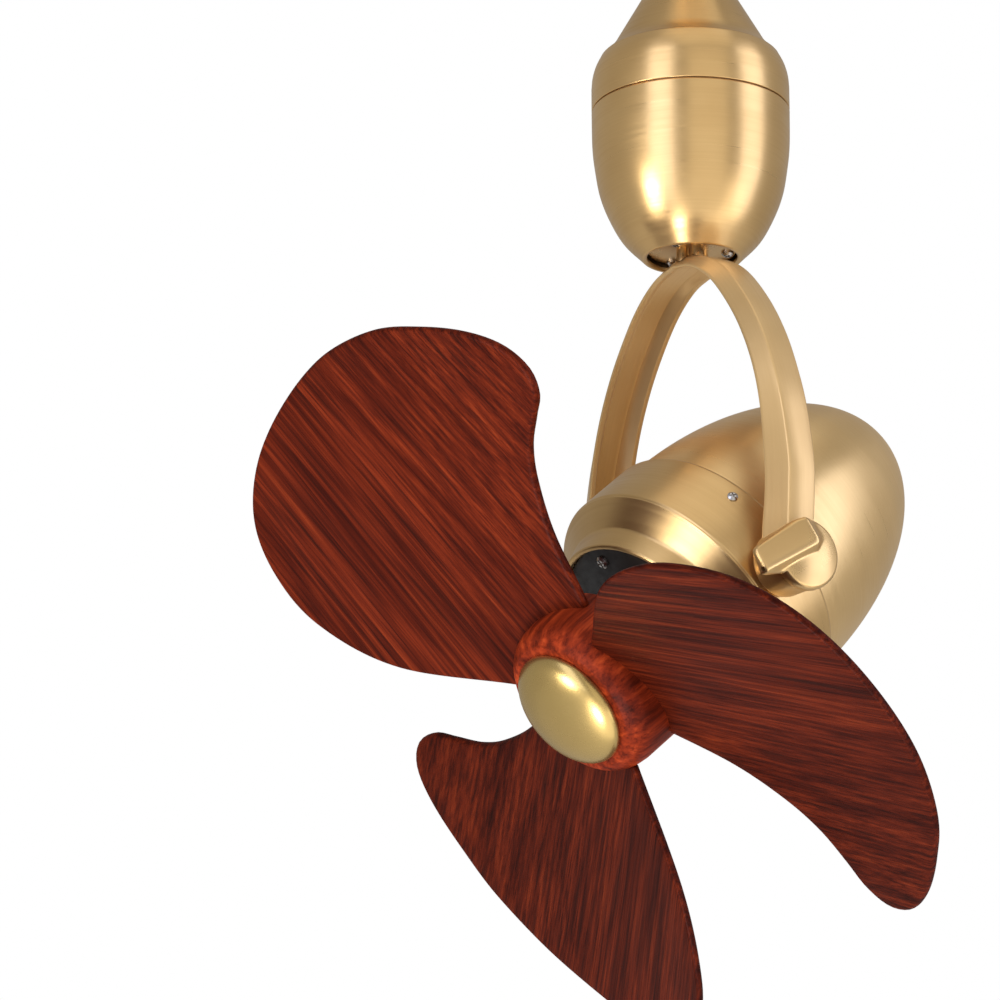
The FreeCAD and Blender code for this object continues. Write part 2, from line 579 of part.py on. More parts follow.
def main():
    ceiling_mount()
    downrod()
    housing()
    drive_unit()
    pinion()
    yoke_drive()
    yoke()
    head_casing()
    motor()
    rotor()
    knobs()
    os.makedirs("parts", exist_ok=True)
    for name, shape in PARTS.items():
        shape.exportStep(os.path.join("parts", name + ".step"))
        print(name, len(shape.Solids), shape.isValid(), round(shape.Volume / 1000.0, 2), "cm3")


main()
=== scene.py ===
"""Looks of a directional ceiling fan: satin brass, mahogany blades, gold spinner cap."""
import json
import math

import bmesh
import bpy
from mathutils import Matrix, Vector


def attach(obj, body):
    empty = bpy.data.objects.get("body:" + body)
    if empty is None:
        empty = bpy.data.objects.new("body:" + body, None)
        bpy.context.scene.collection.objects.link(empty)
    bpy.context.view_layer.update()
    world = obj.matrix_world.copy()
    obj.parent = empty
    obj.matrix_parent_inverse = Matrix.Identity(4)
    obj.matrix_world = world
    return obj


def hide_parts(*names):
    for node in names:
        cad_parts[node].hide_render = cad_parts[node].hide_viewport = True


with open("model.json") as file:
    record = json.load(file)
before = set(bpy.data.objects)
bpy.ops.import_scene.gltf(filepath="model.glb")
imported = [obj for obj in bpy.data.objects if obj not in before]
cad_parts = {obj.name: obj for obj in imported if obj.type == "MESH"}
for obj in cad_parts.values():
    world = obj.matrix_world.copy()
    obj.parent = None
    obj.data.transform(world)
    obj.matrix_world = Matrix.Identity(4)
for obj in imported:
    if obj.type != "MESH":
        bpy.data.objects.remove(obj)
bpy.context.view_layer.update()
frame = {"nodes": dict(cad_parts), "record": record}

# ---- places ----
MM = 0.001
SEAM = -250.0                 # height of the housing's seam, mm
PIVOT = SEAM - 243.5          # height of the head's pivot axis, mm
TILT = 41.5                   # head axis below the horizontal at rest, degrees
BLADES = {"blade_1": 98.1, "blade_2": -21.9, "blade_3": -141.9}     # turn about the head's axis, degrees

WORLD_FRAME = Matrix.Identity(4)
HOUSING_FRAME = Matrix.Translation((0, 0, SEAM * MM))
PIVOT_FRAME = Matrix.Translation((0, 0, PIVOT * MM))
HEAD_FRAME = PIVOT_FRAME @ Matrix.Rotation(math.radians(90 + TILT), 4, "X")


# ---- camera ----
CAMERA_AT = Vector((1.7623, -1.1719, -1.0534))      # m
CAMERA_RIGHT = Vector((0.5170, 0.8560, 0.0005))
CAMERA_UP = Vector((0.2363, -0.1433, 0.9611))
CAMERA_VIEW = Vector((-0.8227, 0.4968, 0.2763))
LENS = 167.32                 # focal length, mm
SENSOR = 36.0                 # width, mm
FAR_CLIP = 100                # m


def make_camera():
    data = bpy.data.cameras.new("camera")
    data.lens = LENS
    data.sensor_width = SENSOR
    data.clip_end = FAR_CLIP
    camera = bpy.data.objects.new("camera", data)
    bpy.context.scene.collection.objects.link(camera)
    axes = Matrix((CAMERA_RIGHT, CAMERA_UP, -CAMERA_VIEW)).transposed()
    camera.matrix_world = Matrix.Translation(CAMERA_AT) @ axes.to_4x4()
    bpy.context.scene.camera = camera
    bpy.context.scene.view_settings.view_transform = "Standard"


# ---- outlines ----
ROUNDING_STEPS = 4            # points along a rounded corner, less one
EDGE_SHARE = 0.45             # most of an edge that the rounding of one corner may take
DENSE_SPAN = 24               # points per span of a curve that is to be spaced evenly
TINY = 1e-9                   # keeps a length of nothing from being divided by


def between(a, b, c, d, t):
    """One coordinate of the smooth curve a, b, c, d, at share t of the way from b to c."""
    return 0.5 * (2 * b + (c - a) * t + (2 * a - 5 * b + 4 * c - d) * t * t
                  + (3 * b - a - 3 * c + d) * t ** 3)


def spline(points, per_span=8):
    """Smooth curve through a few points."""
    before = tuple(2 * a - b for a, b in zip(points[0], points[1]))
    after = tuple(2 * a - b for a, b in zip(points[-1], points[-2]))
    p = [before] + list(points) + [after]
    out = []
    for i in range(1, len(p) - 2):
        for k in range(per_span):
            out.append(tuple(between(a, b, c, d, k / per_span)
                             for a, b, c, d in zip(p[i - 1], p[i], p[i + 1], p[i + 2])))
    return out + [tuple(points[-1])]


def evenly(points, count):
    """Points spaced evenly along a smooth curve."""
    dense = [Vector(q) for q in spline(points, DENSE_SPAN)]
    length = [0.0]
    for a, b in zip(dense, dense[1:]):
        length.append(length[-1] + (b - a).length)
    out = []
    j = 0
    for i in range(count):
        want = length[-1] * i / (count - 1)
        while j < len(length) - 2 and length[j + 1] < want:
            j += 1
        t = (want - length[j]) / max(length[j + 1] - length[j], TINY)
        out.append(dense[j].lerp(dense[j + 1], min(max(t, 0.0), 1.0)))
    return out


def quarter(r_axis, z_axis, z_start, steps):
    """Quarter ellipse from (r_axis, z_start) to the axis."""
    angles = [math.pi / 2 * i / steps for i in range(steps + 1)]
    return [(r_axis * math.cos(a), z_start + z_axis * math.sin(a)) for a in angles]


def outline(*pieces):
    """Closed outline from (r, z) corners, (r, z, rounding) corners and lists of points."""
    flat = []
    for piece in pieces:
        if isinstance(piece, list):
            flat += [(Vector(q[:2]), 0.0) for q in piece]
        else:
            flat.append((Vector(piece[:2]), piece[2] if len(piece) > 2 else 0.0))
    points = []
    for i, (corner, radius) in enumerate(flat):
        if radius == 0.0:
            points.append(corner)
            continue
        before = flat[i - 1][0] - corner
        after = flat[(i + 1) % len(flat)][0] - corner
        reach = min(radius, EDGE_SHARE * before.length, EDGE_SHARE * after.length)
        a = corner + before.normalized() * reach
        b = corner + after.normalized() * reach
        for k in range(ROUNDING_STEPS + 1):
            t = k / ROUNDING_STEPS
            points.append(a * (1 - t) ** 2 + corner * 2 * t * (1 - t) + b * t * t)
    return [(q.x, q.y) for q in points]


# ---- meshes ----
MERGE = 1e-6                  # points nearer than this are one point, m
ON_AXIS = 1e-6                # a smaller radius lies on the axis, mm
SHARP = 38.0                  # edges that turn more than this stay sharp, degrees
LATHE_SEGMENTS = 144
HEAD_SEGMENTS = 192


def finished(name, bm, place, material, body, nodes, sharp=SHARP):
    """Makes an object from a mesh, smooth but for its real corners, riding on its body."""
    bmesh.ops.remove_doubles(bm, verts=bm.verts, dist=MERGE)
    bmesh.ops.recalc_face_normals(bm, faces=bm.faces)
    mesh = bpy.data.meshes.new(name)
    bm.to_mesh(mesh)
    bm.free()
    mesh.polygons.foreach_set("use_smooth", [True] * len(mesh.polygons))
    mesh.set_sharp_from_angle(angle=math.radians(sharp))
    obj = bpy.data.objects.new(name, mesh)
    bpy.context.scene.collection.objects.link(obj)
    obj.matrix_world = place
    mesh.materials.append(material)
    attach(obj, body)
    if nodes:
        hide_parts(*nodes)


def bridge(bm, a, b):
    """Adds the faces between two closed rows of points, either of which may be a single point."""
    count = max(len(a), len(b))
    if count == 1:
        return
    for k in range(count):
        n = (k + 1) % count
        if len(a) == 1:
            bm.faces.new((a[0], b[n], b[k]))
        elif len(b) == 1:
            bm.faces.new((a[k], a[n], b[0]))
        else:
            bm.faces.new((a[k], a[n], b[n], b[k]))


def skin(bm, rows):
    """Adds a closed skin over rows of points, with a flat face at each end."""
    for a, b in zip(rows, rows[1:]):
        bridge(bm, a, b)
    bm.faces.new(rows[0])
    bm.faces.new(list(reversed(rows[-1])))


def revolve(bm, points, segments, turn=Matrix.Identity(4)):
    """Adds the solid of revolution of a closed (r, z) outline in mm about Z."""
    angles = [2 * math.pi * k / segments for k in range(segments)]
    rings = []
    for r, z in points:
        if r < ON_AXIS:
            ring = [(0, 0, z * MM)]
        else:
            ring = [(r * math.cos(a) * MM, r * math.sin(a) * MM, z * MM) for a in angles]
        rings.append([bm.verts.new(turn @ Vector(q)) for q in ring])
    for i, ring in enumerate(rings):
        bridge(bm, ring, rings[(i + 1) % len(rings)])


def lathe(name, points, place, material, body, nodes, segments=LATHE_SEGMENTS):
    """Makes a turned piece from its closed (r, z) outline."""
    bm = bmesh.new()
    revolve(bm, points, segments)
    finished(name, bm, place, material, body, nodes)


# ---- materials ----
MIX_FACTOR, MIX_A, MIX_B = 0, 6, 7      # inputs of a mix node that mixes colours
MIX_RESULT = 2                          # and its output


class Nodes:
    """Short hand for building one material's nodes."""

    def __init__(self, name):
        self.material = bpy.data.materials.new(name)
        self.material.use_nodes = True
        self.tree = self.material.node_tree
        self.shader = self.tree.nodes["Principled BSDF"]
        self.coords = self.tree.nodes.new("ShaderNodeTexCoord").outputs["Object"]

    def add(self, kind, **values):
        """New node; a value goes to the input of that name, or else to the setting."""
        node = self.tree.nodes.new(kind)
        for key, value in values.items():
            if key in node.inputs:
                node.inputs[key].default_value = value
            else:
                setattr(node, key, value)
        return node

    def link(self, out, node, socket):
        self.tree.links.new(out, node.inputs[socket])

    def stretched(self, scale, offset=(0, 0, 0)):
        """Object coordinates, scaled along each axis and moved."""
        node = self.add("ShaderNodeMapping")
        node.inputs["Scale"].default_value = scale
        node.inputs["Location"].default_value = offset
        self.link(self.coords, node, "Vector")
        return node.outputs["Vector"]

    def noise(self, vector, scale=1.0, detail=3.0, roughness=0.55, distortion=0.0):
        node = self.add("ShaderNodeTexNoise", Scale=scale, Detail=detail, Roughness=roughness,
                        Distortion=distortion)
        self.link(vector, node, "Vector")
        return node.outputs["Fac"]

    def spread(self, value, low, high, to_low=0.0, to_high=1.0):
        """value, with its range low to high spread over to_low to to_high."""
        node = self.add("ShaderNodeMapRange")
        limits = {"From Min": low, "From Max": high, "To Min": to_low, "To Max": to_high}
        for socket, number in limits.items():
            node.inputs[socket].default_value = number
        self.link(value, node, "Value")
        return node.outputs["Result"]

    def ramp(self, value, stops):
        """Colour for a value, from (position, colour) stops."""
        node = self.add("ShaderNodeValToRGB")
        elements = node.color_ramp.elements
        while len(elements) < len(stops):
            elements.new(0.5)
        for element, (position, colour) in zip(elements, stops):
            element.position = position
            element.color = (*colour, 1)
        self.link(value, node, "Fac")
        return node.outputs["Color"]

    def mix(self, factor, a, b, blend="MIX"):
        """Mix of two colours; each input is a number, a colour or another node's output."""
        node = self.add("ShaderNodeMix", data_type="RGBA", blend_type=blend)
        for value, index in ((factor, MIX_FACTOR), (a, MIX_A), (b, MIX_B)):
            if isinstance(value, (int, float)):
                node.inputs[index].default_value = value
            elif isinstance(value, tuple):
                node.inputs[index].default_value = (*value, 1)
            else:
                self.tree.links.new(value, node.inputs[index])
        return node.outputs[MIX_RESULT]

    def bump(self, height, distance, strength):
        node = self.add("ShaderNodeBump", Strength=strength, Distance=distance)
        self.link(height, node, "Height")
        self.link(node.outputs["Normal"], self.shader, "Normal")

    def edge_pointiness(self):
        """Pointiness of the shape, bright on raised edges; it masks the painted highlight there."""
        return self.add("ShaderNodeNewGeometry").outputs["Pointiness"]


def brushed(name, colour, dark, grain, roughness=(0.26, 0.40), fine=1.0, around=True, metallic=0.9):
    """Satin metal with fine brush lines; grain is the noise scale along each axis."""
    n = Nodes(name)
    s = n.shader
    s.inputs["Metallic"].default_value = metallic
    lines = n.noise(n.stretched(grain), detail=4.0, roughness=0.7)
    cloud = n.noise(n.coords, scale=22.0, detail=2.0)
    tone = n.mix(n.spread(cloud, 0.35, 0.65, to_high=0.35), colour, dark)
    n.link(n.mix(n.spread(lines, 0.3, 0.7, to_high=0.22 * fine), tone, dark), s, "Base Color")
    n.link(n.spread(lines, 0.25, 0.75, *roughness), s, "Roughness")
    if around:
        s.inputs["Anisotropic"].default_value = 0.55
        s.inputs["Anisotropic Rotation"].default_value = 0.25
        tangent = n.add("ShaderNodeTangent", direction_type="RADIAL", axis="Z")
        n.link(tangent.outputs["Tangent"], s, "Tangent")
    n.bump(lines, 0.00004 * fine, 0.35)
    return n.material


WHITE = (1.0, 1.0, 1.0)
WOOD_TONES = [(0.30, (0.058, 0.008, 0.003)), (0.44, (0.128, 0.014, 0.004)),
              (0.57, (0.222, 0.025, 0.006)), (0.72, (0.350, 0.048, 0.011))]
WOOD_BANDS = [(0.36, (0.55, 0.48, 0.45)), (0.60, WHITE)]
WOOD_PORES = [(0.38, (0.42, 0.34, 0.32)), (0.50, WHITE)]
WOOD_EDGE_HIGHLIGHT = (0.42, 0.15, 0.09)        # colour of the painted highlight along the raised edges, where they catch the light
ACROSS = 20                             # a larger grain scale runs across the streaks


def mahogany(name, grain, offset, tone_up):
    """Dark red lacquered wood with a painted highlight on its raised edges; grain is the noise scale along
    each axis, low along the streaks.
    """
    n = Nodes(name)
    s = n.shader

    def grained(share, detail, roughness, distortion=0.0):
        """Noise at a share of the grain's scale, which counts for less along the streaks."""
        along = max(share, 0.6) ** 0.5
        scale = tuple(g * (share if g > ACROSS else along) for g in grain)
        return n.noise(n.stretched(scale, offset), detail=detail, roughness=roughness, distortion=distortion)

    streak = grained(1.0, 5.0, 0.62, 0.25)
    fine = grained(3.2, 4.0, 0.7)
    broad = grained(0.22, 3.0, 0.5, 0.4)
    cloud = n.noise(n.stretched((9, 12, 12), offset), detail=2.0)
    base = n.ramp(streak, [(at, tuple(c * tone_up for c in colour)) for at, colour in WOOD_TONES])
    tone = n.mix(1.0, base, n.ramp(broad, WOOD_BANDS), "MULTIPLY")
    pores = n.ramp(fine, WOOD_PORES)
    tone = n.mix(n.spread(cloud, 0.3, 0.7, to_low=0.45), tone, n.mix(1.0, tone, pores, "MULTIPLY"))
    # painted highlight: lighter wood along the raised edges, standing in for the light that catches them
    edge_highlight = n.spread(n.edge_pointiness(), 0.56, 0.68, to_high=0.35)
    n.link(n.mix(edge_highlight, tone, WOOD_EDGE_HIGHLIGHT), s, "Base Color")
    n.link(n.spread(fine, 0.3, 0.7, 0.52, 0.38), s, "Roughness")
    s.inputs["Specular IOR Level"].default_value = 0.05
    n.bump(fine, 0.00012, 0.5)
    return n.material


def plain(name, colour, metallic, rough, grain=260.0, depth=0.00003, shade=0.72):
    """A colour with specks of a darker one; grain is their noise scale and shade is how dark, as a share."""
    n = Nodes(name)
    s = n.shader
    s.inputs["Metallic"].default_value = metallic
    speck = n.noise(n.coords, scale=grain, detail=3.0)
    darker = tuple(c * shade for c in colour)
    n.link(n.mix(n.spread(speck, 0.35, 0.65, to_high=0.6), colour, darker), s, "Base Color")
    n.link(n.spread(speck, 0.3, 0.7, rough * 0.82, rough * 1.18), s, "Roughness")
    n.bump(speck, depth, 0.4)
    return n.material


BRASS = (0.76, 0.50, 0.215)
BRASS_DARK = (0.56, 0.33, 0.115)
TURNED = (9, 9, 900)                    # grain of brush lines that run around a turned piece
BLADE_GRAIN = (10, 420, 420)
# brightness of each blade's wood; blade_1 is painted lighter than the other two, standing in for the stronger
# light on it
BLADE_TONE_AND_LIGHT = {"blade_1": 0.60, "blade_2": 0.42, "blade_3": 0.42}

brass_turned = brushed("brass_turned", BRASS, BRASS_DARK, TURNED)
# rear shell: the same brass painted lighter, standing in for the light that falls on it
brass_shell_painted_light = brushed("brass_shell_painted_light", (0.86, 0.585, 0.265), (0.66, 0.41, 0.16), TURNED)
# cone: the same brass painted darker, standing in for the shade on it
brass_cone_painted_shade = brushed("brass_cone_painted_shade", (0.68, 0.44, 0.18), (0.50, 0.29, 0.10), TURNED)
brass_arch = brushed("brass_arch", BRASS, BRASS_DARK, (14, 900, 14), around=False, metallic=0.5)
brass_cast = brushed("brass_cast", BRASS, BRASS_DARK, (60, 60, 60), (0.24, 0.34), 0.6, around=False)
cap_gold = brushed("cap_gold", (0.55, 0.38, 0.135), (0.46, 0.30, 0.09), (50, 50, 50), (0.25, 0.29), 0.08,
                   around=False)
wood_blades = {name: mahogany("mahogany_" + name, BLADE_GRAIN, (3.1 * i, 1.7 * i, 0.4 * i), BLADE_TONE_AND_LIGHT[name])
               for i, name in enumerate(BLADES)}
wood_hub = mahogany("mahogany_hub", (150, 150, 16), (0.3, 0.2, 0.7), 1.3)
black = plain("black_satin", (0.018, 0.012, 0.008), 0.0, 0.42)
steel = plain("zinc_steel", (0.58, 0.55, 0.52), 1.0, 0.30)
lamination = plain("lamination", (0.16, 0.16, 0.17), 1.0, 0.45)
copper = plain("copper", (0.60, 0.25, 0.12), 1.0, 0.36)
nylon = plain("nylon", (0.62, 0.60, 0.54), 0.0, 0.45)
cast_metal = plain("cast_metal", (0.55, 0.55, 0.55), 1.0, 0.45, 420.0, 0.0001)
BY_SLOT = {"satin_brass": brass_cast, "cap_brass": cap_gold, "mahogany": wood_hub, "black_plate": black,
           "steel": steel, "lamination": lamination, "copper": copper, "nylon": nylon,
           "cast_aluminium": cast_metal}


def dress_cad_nodes():
    """Gives each CAD node the material of its slot."""
    slots = {part["node"]: part["material_slot"] for part in frame["record"]["subparts"]}
    for name, obj in frame["nodes"].items():
        obj.data.materials.clear()
        obj.data.materials.append(BY_SLOT[slots[name]])
        obj.data.polygons.foreach_set("use_smooth", [True] * len(obj.data.polygons))


# ---- ceiling end and housing ----
def make_housing():
    def brass(name, points, nodes, place=HOUSING_FRAME, material=brass_turned):
        lathe(name, points, place, material, "mount", nodes)

    canopy_out = spline([(62, -6), (60.5, -20), (54, -34), (42, -46), (27, -54), (17, -57.5)])
    canopy_in = spline([(16, -55.7), (26.3, -52.3), (41, -44.4), (52.5, -32.9), (58.8, -19.6), (60.3, -6)])
    canopy = outline((62, 0, 0.6), canopy_out, (13.8, -57.5, 0.5), (13.8, -55.7), canopy_in, (60.3, 0))
    brass("canopy_shell", canopy, ["canopy"], WORLD_FRAME)
    brass("rod_tube", outline((10.5, -216), (13.35, -216), (13.35, -6), (10.5, -6)), ["downrod"], WORLD_FRAME)

    flare = spline([(43.2, 27.4), (41.1, 29.2), (38.9, 31.4), (36.9, 34.1), (35.2, 37.1)])
    under = spline([(33, 37.4), (34.8, 34.0), (36.9, 31.1), (39.2, 28.8), (40.9, 27.4)])
    cone = outline(flare, (16, 70.7, 2.5), (16, 79, 0.8), (13.6, 79, 0.3), (13.6, 70.7), under)
    brass("cone_shell", cone, ["cone_cover"], material=brass_cone_painted_shade)

    shoulder = spline([(48, 12), (47.5, 17), (46.1, 22), (43.7, 26.9)])
    inside = spline([(41.9, 25), (44.2, 20.8), (45.5, 16.4), (46, 12)])
    ring = outline((48, 0.5, 0.5), shoulder, (43.3, 27.3), (13.45, 27.3), (13.45, 25), inside, (46, 0.5, 0.2))
    brass("housing_ring", ring, ["upper_housing"])

    cup_out = spline([(48, -0.7), (47.7, -18), (46.4, -30), (44.2, -42), (40, -53.3), (33.7, -64.7),
                      (24.4, -74.5)])
    cup_in = spline([(21.8, -73.2), (32.2, -63.1), (38.3, -52.3), (42.3, -41.4), (44.4, -29.6), (45.3, -18),
                     (45.4, -4)])
    cup = outline((47.4, 0), cup_out, (23.9, -75.0), (23.2, -75.1), (22.3, -74.9), (21.8, -74.3), cup_in,
                  (46, -4), (46, 0))
    brass("cup_shell", cup, ["lower_cup"])


# ---- yoke ----
ARCH_FLAT = 7.0               # half width of the flat strip over the arch, mm
ARCH_HALF = 12.0              # half width over the channel's flanks, mm
ARCH_WALL = 2.5
ARCH_BOW = 1.2                # how far the channel's inner flank bows in, times 4, mm
ARCH_SHARP = 28.0             # edges that turn more than this stay sharp, degrees
ARCH_SPAN = 10                # stations per span of the arch's curves
EYE_SEGMENTS = 96


def arch_lines():
    """Matched (x, z) curves of the right half of the arch, crown to foot, mm: the flat strip over the arch,
    the foot of its flanks, the rim, the channel's lip and the channel's floor."""
    ridge = [(0, -75.5), (20, -80.3), (37.5, -91), (55, -110), (68, -130), (77, -150), (83.7, -170),
             (88.6, -196), (88.6, -211), (87.4, -227.5), (87.4, -236)]
    flank = [(0, -80.8), (16, -84.3), (31.9, -94.4), (46.5, -110.3), (58.1, -127.2), (67.4, -146.8),
             (73.4, -168.2), (76.5, -195), (76.4, -212), (74.2, -227.5), (73.5, -236)]
    rim = [(0, -82), (15.5, -85.4), (31, -95.2), (45.5, -111), (57, -127.8), (66.3, -147.3), (72.2, -168.5),
           (75.3, -195), (75.2, -212), (73, -227.5), (72.3, -236)]
    lip = [(0, -81.7), (15.6, -85.1), (31.2, -95.0), (45.7, -110.9), (57.3, -127.7), (66.6, -147.2),
           (72.5, -168.4), (75.6, -195), (75.5, -212), (73.3, -227.5), (72.6, -236)]
    floor = [(0, -78.1), (19, -82.8), (35.6, -92.8), (52.8, -111.4), (65.6, -131.2), (74.6, -151),
             (81.2, -170.7), (86.0, -196), (85.8, -211), (75.0, -227.5), (74.2, -236)]
    return [spline(curve, ARCH_SPAN) for curve in (ridge, flank, rim, lip, floor)]


def channel_section(ridge, flank, rim, lip, floor):
    """Closed outline of the arch at one station, as (y, point) pairs."""
    inner_lip = ARCH_HALF - ARCH_WALL
    inner_floor = ARCH_FLAT - ARCH_WALL + 0.5
    # rounded edge of the flat strip, and the flank below it
    side = [(ARCH_FLAT - 0.55, ridge), (ARCH_FLAT - 0.15, ridge.lerp(flank, 0.015)),
            (ARCH_FLAT + 0.15, ridge.lerp(flank, 0.04)), (ARCH_FLAT + 0.45, ridge.lerp(flank, 0.09))]
    side += [(ARCH_FLAT + (ARCH_HALF - ARCH_FLAT) * t, ridge.lerp(flank, t)) for t in (0.3, 0.6, 0.9)]
    # rounded rim
    side += [(ARCH_HALF - 0.15, ridge.lerp(flank, 0.97)), (ARCH_HALF, flank.lerp(rim, 0.15)),
             (ARCH_HALF, flank.lerp(rim, 0.6)), (ARCH_HALF - 0.12, flank.lerp(rim, 0.85)),
             (ARCH_HALF - 0.4, rim), (inner_lip + 0.45, rim), (inner_lip + 0.12, rim.lerp(lip, 0.5)),
             (inner_lip, lip)]
    # inner flank, and its rounded foot on the channel's floor
    for t in (0.2, 0.45, 0.7, 0.85, 0.95):
        side.append((inner_lip + (inner_floor - inner_lip) * t - ARCH_BOW * t * (1 - t), lip.lerp(floor, t)))
    side += [(inner_floor - 0.7, lip.lerp(floor, 0.99)), (inner_floor - 1.6, floor)]
    return [(0.0, ridge)] + side + [(0.0, floor)] + [(-y, q) for y, q in reversed(side)]


def make_arch():
    stations = [[Vector(q) for q in station] for station in zip(*arch_lines())]
    mirrored = [[Vector((-q.x, q.y)) for q in station] for station in reversed(stations[1:])]
    bm = bmesh.new()
    skin(bm, [[bm.verts.new((q.x * MM, y * MM, q.y * MM)) for y, q in channel_section(*station)]
              for station in mirrored + stations])
    finished("arch", bm, HOUSING_FRAME, brass_arch, "yoke", ["yoke_arch"], ARCH_SHARP)


def make_eyes():
    """Round bosses at the feet of the arch, about the pivot axis."""
    drum = outline((6.5, 70, 0.3), (15.5, 70, 1.4), (15.5, 87.5, 0.8), (6.5, 87.5, 0.3))
    for side, name in ((1, "eye_right"), (-1, "eye_left")):
        place = PIVOT_FRAME @ Matrix.Rotation(math.radians(side * 90), 4, "Y")
        lathe(name, drum, place, brass_turned, "yoke", [], EYE_SEGMENTS)


# ---- head ----
def make_head():
    def turned(name, points, nodes, material=brass_turned):
        lathe(name, points, HEAD_FRAME, material, "head", nodes, HEAD_SEGMENTS)

    barrel = outline((60, 16.5), (66.9, 16.5, 0.2), (67.5, 15.7, 0.5), (67.5, -15.4, 0.6), (66.9, -16.6, 0.5),
                     (64.4, -16.8), (64.4, -6), (60, -6))
    turned("barrel_ring", barrel, ["barrel"])
    bezel = outline((67.0, 16.5), (66.8, 17.0, 0.4), (55.7, 26.3, 0.5), (54.9, 27.6, 0.7), (52.9, 36.4, 0.5),
                    (52.2, 37.1, 0.4), (50.9, 37.1, 0.4), (50.2, 36.4, 0.4), (50.2, 30.5), (38, 30.5),
                    (38, 28.5), (52.2, 28.5), (52.8, 26.0), (63.5, 17.6), (63.5, 16.5))
    turned("bezel_ring", bezel, ["front_bezel"])
    plate = outline((7, 33.5, 0.3), (49.9, 33.5, 0.5), (49.9, 30.6), (7, 30.6))
    turned("end_plate", plate, ["front_plate"], black)
    shell_out = quarter(64.3, -116, -20, 48)
    shell_in = quarter(62.3, -114, -20, 32)
    shell = outline((64.3, -6), shell_out, list(reversed(shell_in)), (62.3, -6))
    turned("tail_shell", shell, ["rear_shell"], brass_shell_painted_light)


# ---- blades and hub ----
BLADE_MIDDLE = 77.4           # a blade's middle surface from the pivot, 120 mm out, mm
BLADE_PITCH = 0.215           # slope across the blade there
BLADE_TWIST = 0.081           # loss of slope per 100 mm outwards
BLADE_RISE = 3.9              # rise per 100 mm outwards, mm
BLADE_DISH = 0.0009           # dish across the blade, per mm
BLADE_HALF = 2.25             # half of the blade's thickness, mm
BLADE_EDGE_R = 2.0
BLADE_EDGE_STEPS = 5          # for half of the rounded edge
BLADE_SHARP = 60.0            # edges that turn more than this stay sharp, degrees
ROOT_MIDDLE = (27, 3.5)
ROOT_POINTS = 13              # from the root's middle to its corner
EDGE_POINTS = 143             # from corner to corner, round the blade
SPINE_START = 0.12            # the faces of a blade close on a line along its middle,
SPINE_LENGTH = 0.76           # which starts here and is this long, as shares of the blade
FACE_LOOPS = (0.85, 0.68, 0.5, 0.32, 0.15)      # loops between edge and spine, as shares of the way out


def blade_height(u, t):
    """Middle surface of a blade, mm: pitched, twisted and slightly dished."""
    outward = (u - 120.0) / 100.0
    slope = BLADE_PITCH - BLADE_TWIST * outward
    return BLADE_MIDDLE + slope * t + BLADE_DISH * t * t + BLADE_RISE * outward


def blade_edge():
    """Plan of a blade as an even loop of points from mid root, by the leading edge, to mid root again."""
    edge = [(22, 34), (63, 79), (102, 99.5), (134, 102), (161, 92.5), (181, 69), (193, 35), (197.5, -5),
            (191, -43), (178, -70), (163, -92), (147.5, -105), (132, -107), (120, -99), (113, -86),
            (104, -70), (90, -55.5), (66, -39.5), (32, -26)]
    first = evenly([ROOT_MIDDLE, edge[0]], ROOT_POINTS)
    last = evenly([edge[-1], ROOT_MIDDLE], ROOT_POINTS)
    return first[:-1] + evenly(edge, EDGE_POINTS) + last[1:-1]


def inset(points, distance):
    """Closed clockwise plan loop moved inwards."""
    out = []
    for i, q in enumerate(points):
        along = points[(i + 1) % len(points)] - points[i - 1]
        out.append(q + Vector((along.y, -along.x)).normalized() * distance)
    return out


def make_blade(name, angle):
    loop = blade_edge()
    count = len(loop)
    half_way = [min(k, count - k) for k in range(count)]
    bm = bmesh.new()

    def row(points, height):
        return [bm.verts.new((q.x * MM, q.y * MM, (blade_height(q.x, q.y) + height) * MM)) for q in points]

    rings = []
    for k in range(2 * BLADE_EDGE_STEPS + 1):
        a = math.pi / 2 * k / BLADE_EDGE_STEPS
        rings.append(row(inset(loop, BLADE_EDGE_R * (1 - math.sin(a))), BLADE_HALF * math.cos(a)))
    for a, b in zip(rings, rings[1:]):
        bridge(bm, a, b)

    flat = inset(loop, BLADE_EDGE_R)
    spine = [flat[0].lerp(flat[count // 2], SPINE_START + SPINE_LENGTH * k / (count / 2)) for k in half_way]
    for side, outer in ((1, rings[0]), (-1, rings[-1])):
        previous = outer
        for share in FACE_LOOPS:
            current = row([s.lerp(q, share) for s, q in zip(spine, flat)], side * BLADE_HALF)
            bridge(bm, previous, current)
            previous = current
        middle = row(spine[:count // 2 + 1], side * BLADE_HALF)
        for k in range(count):
            n = (k + 1) % count
            bm.faces.new((previous[k], previous[n], middle[half_way[n]], middle[half_way[k]]))
    place = HEAD_FRAME @ Matrix.Rotation(math.radians(angle), 4, "Z")
    finished(name + "_wood", bm, place, wood_blades[name], "rotor", [name], BLADE_SHARP)


def make_hub():
    shoulder = spline([(40.5, 79), (39.6, 85), (37.2, 89.6), (33.2, 93.0)])
    hub = outline((12, 60), (18, 60), (18, 57), (39.3, 57, 0.5), (40.5, 58.4, 0.6), shoulder, (32.6, 93.2),
                  (26.8, 93.2, 0.3), (26.8, 88), (12, 88))
    lathe("hub_wood", hub, HEAD_FRAME, wood_hub, "rotor", ["hub"])
    dome = quarter(29.2, 11.7, 94, 28)
    inside = quarter(25.2, 9.7, 94, 20)
    cap = outline((26.7, 88.5), (26.7, 93.25), (28.9, 93.25, 0.3), dome, list(reversed(inside)), (25.2, 88.5))
    lathe("cap_dome", cap, HEAD_FRAME, cap_gold, "rotor", ["spinner_cap"])


